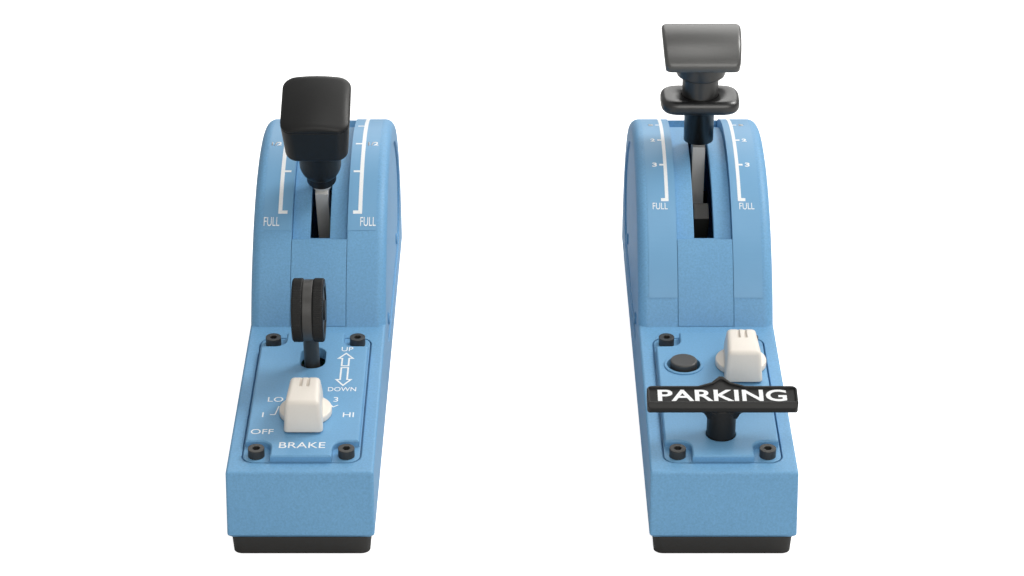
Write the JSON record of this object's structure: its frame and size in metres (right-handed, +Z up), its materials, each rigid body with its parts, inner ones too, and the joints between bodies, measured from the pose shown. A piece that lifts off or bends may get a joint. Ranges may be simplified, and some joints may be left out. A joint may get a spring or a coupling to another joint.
{
  "type": "throttle quadrant",
  "caption": "Pair of blue desk-top flight-simulator lever modules: speed brake, gear and selector on one; flaps, trim, button and parking handle on the other.",
  "frame": {"origin": "on the ground, in the middle of the footprint of the two modules", "axes": "+Z up, +Y away from the pilot along the modules, +X to the pilot's right"},
  "size_m": [0.2406, 0.3228, 0.1623],
  "materials": {
    "blue_shell": "fine textured satin moulding",
    "black_base": "matt",
    "black_knob": "satin",
    "grey_knob": "satin",
    "white_knob": "satin",
    "black_rubber": "matt",
    "dark_steel": "blackened",
    "bright_steel": "ground",
    "bronze": "sintered",
    "circuit_board": "solder mask"
  },
  "bodies": {
    "root": {"axle_pedestals": "black_base", "base_screws": "dark_steel", "button_bezel": "blue_shell", "button_switch": "black_base", "cover_screws": "dark_steel", "faceplate_screws": "dark_steel", "gear_bracket": "dark_steel", "gear_pivot_pin": "bright_steel", "gear_switch": "black_base", "left_base_tray": "black_base", "left_faceplate": "blue_shell", "left_housing": "blue_shell", "left_inner_cover": "blue_shell", "left_link_socket": "black_base", "left_main_board": "circuit_board", "left_outer_cover": "blue_shell", "left_quadrant_insert": "blue_shell", "left_sensor_board": "circuit_board", "park_guide": "black_base", "pivot_bushes": "bronze", "right_base_tray": "black_base", "right_faceplate": "blue_shell", "right_housing": "blue_shell", "right_inner_cover": "blue_shell", "right_link_socket": "black_base", "right_main_board": "circuit_board", "right_outer_cover": "blue_shell", "right_quadrant_insert": "blue_shell", "right_sensor_board": "circuit_board", "rubber_feet": "black_rubber", "selector_switch": "black_base", "trim_potentiometer": "black_base"},
    "speed_brake_lever": {"speed_brake_blade": "bright_steel", "speed_brake_axle": "bright_steel", "speed_brake_washers": "bright_steel", "speed_brake_magnet": "bright_steel", "speed_brake_collar": "black_knob"},
    "speed_brake_push_knob": {"speed_brake_knob": "black_knob", "speed_brake_knob_cap": "black_knob"},
    "gear_lever": {"gear_lever_stem": "dark_steel", "gear_wheel_hub": "black_knob", "gear_wheel_tyres": "grey_knob", "gear_wheel_caps": "black_knob"},
    "brake_selector": {"selector_knob": "white_knob", "selector_shaft": "bright_steel"},
    "flaps_lever": {"flaps_blade": "bright_steel", "flaps_axle": "bright_steel", "flaps_washers": "bright_steel", "flaps_magnet": "bright_steel", "flaps_detent_arm": "dark_steel", "flaps_collar": "black_knob", "flaps_knob": "grey_knob"},
    "flaps_lift_collar": {"flaps_lift_plate": "black_knob"},
    "trim_control": {"trim_knob": "white_knob", "trim_shaft": "bright_steel"},
    "button": {"push_button": "black_knob"},
    "park_carrier": {"park_slider": "black_base"},
    "park_pull": {"park_handle": "black_knob", "park_clip": "dark_steel"}
  },
  "joints": [
    {"name": "speed_brake_swing", "type": "hinge", "parent": "root", "child": "speed_brake_lever", "pos_m": [-0.08885, 0.06, 0.015], "axis": [1, 0, 0], "range_deg": [-47.8, 11.8]},
    {"name": "speed_brake_press", "type": "slide", "parent": "speed_brake_lever", "child": "speed_brake_push_knob", "axis": [0, -0.4446, 0.8957], "range_m": [-0.004, 0], "stiffness_N_per_m": 600, "springref_m": 0.003},
    {"name": "gear_lever_swing", "type": "hinge", "parent": "root", "child": "gear_lever", "pos_m": [-0.08885, -0.06525, 0.02762], "axis": [1, 0, 0], "range_deg": [-26.4, 0]},
    {"name": "brake_selector_turn", "type": "hinge", "parent": "root", "child": "brake_selector", "pos_m": [-0.08885, -0.11535, 0.04456], "axis": [0, -0.0698, 0.9976], "range_deg": [-60, 90]},
    {"name": "flaps_swing", "type": "hinge", "parent": "root", "child": "flaps_lever", "pos_m": [0.08885, 0.06, 0.015], "axis": [1, 0, 0], "range_deg": [-27.1, 28.1]},
    {"name": "flaps_lift", "type": "slide", "parent": "flaps_lever", "child": "flaps_lift_collar", "axis": [0, -0.0924, 0.9957], "range_m": [0, 0.0045], "stiffness_N_per_m": 500, "springref_m": -0.002},
    {"name": "trim_turn", "type": "hinge", "parent": "root", "child": "trim_control", "pos_m": [0.10165, -0.07286, 0.04753], "axis": [0, -0.0698, 0.9976], "range_deg": [-35, 35], "stiffness_Nm_per_rad": 0.05},
    {"name": "button_press", "type": "slide", "parent": "root", "child": "button", "axis": [0, -0.0698, 0.9976], "range_m": [-0.002, 0], "stiffness_N_per_m": 400, "springref_m": 0.002},
    {"name": "park_pull_out", "type": "slide", "parent": "root", "child": "park_carrier", "axis": [0, -0.0698, 0.9976], "range_m": [0, 0.008], "stiffness_N_per_m": 300, "springref_m": -0.004},
    {"name": "park_turn", "type": "hinge", "parent": "park_carrier", "child": "park_pull", "pos_m": [0.08885, -0.12999, 0.01587], "axis": [0, -0.0698, 0.9976], "range_deg": [-90, 0]}
  ]
}
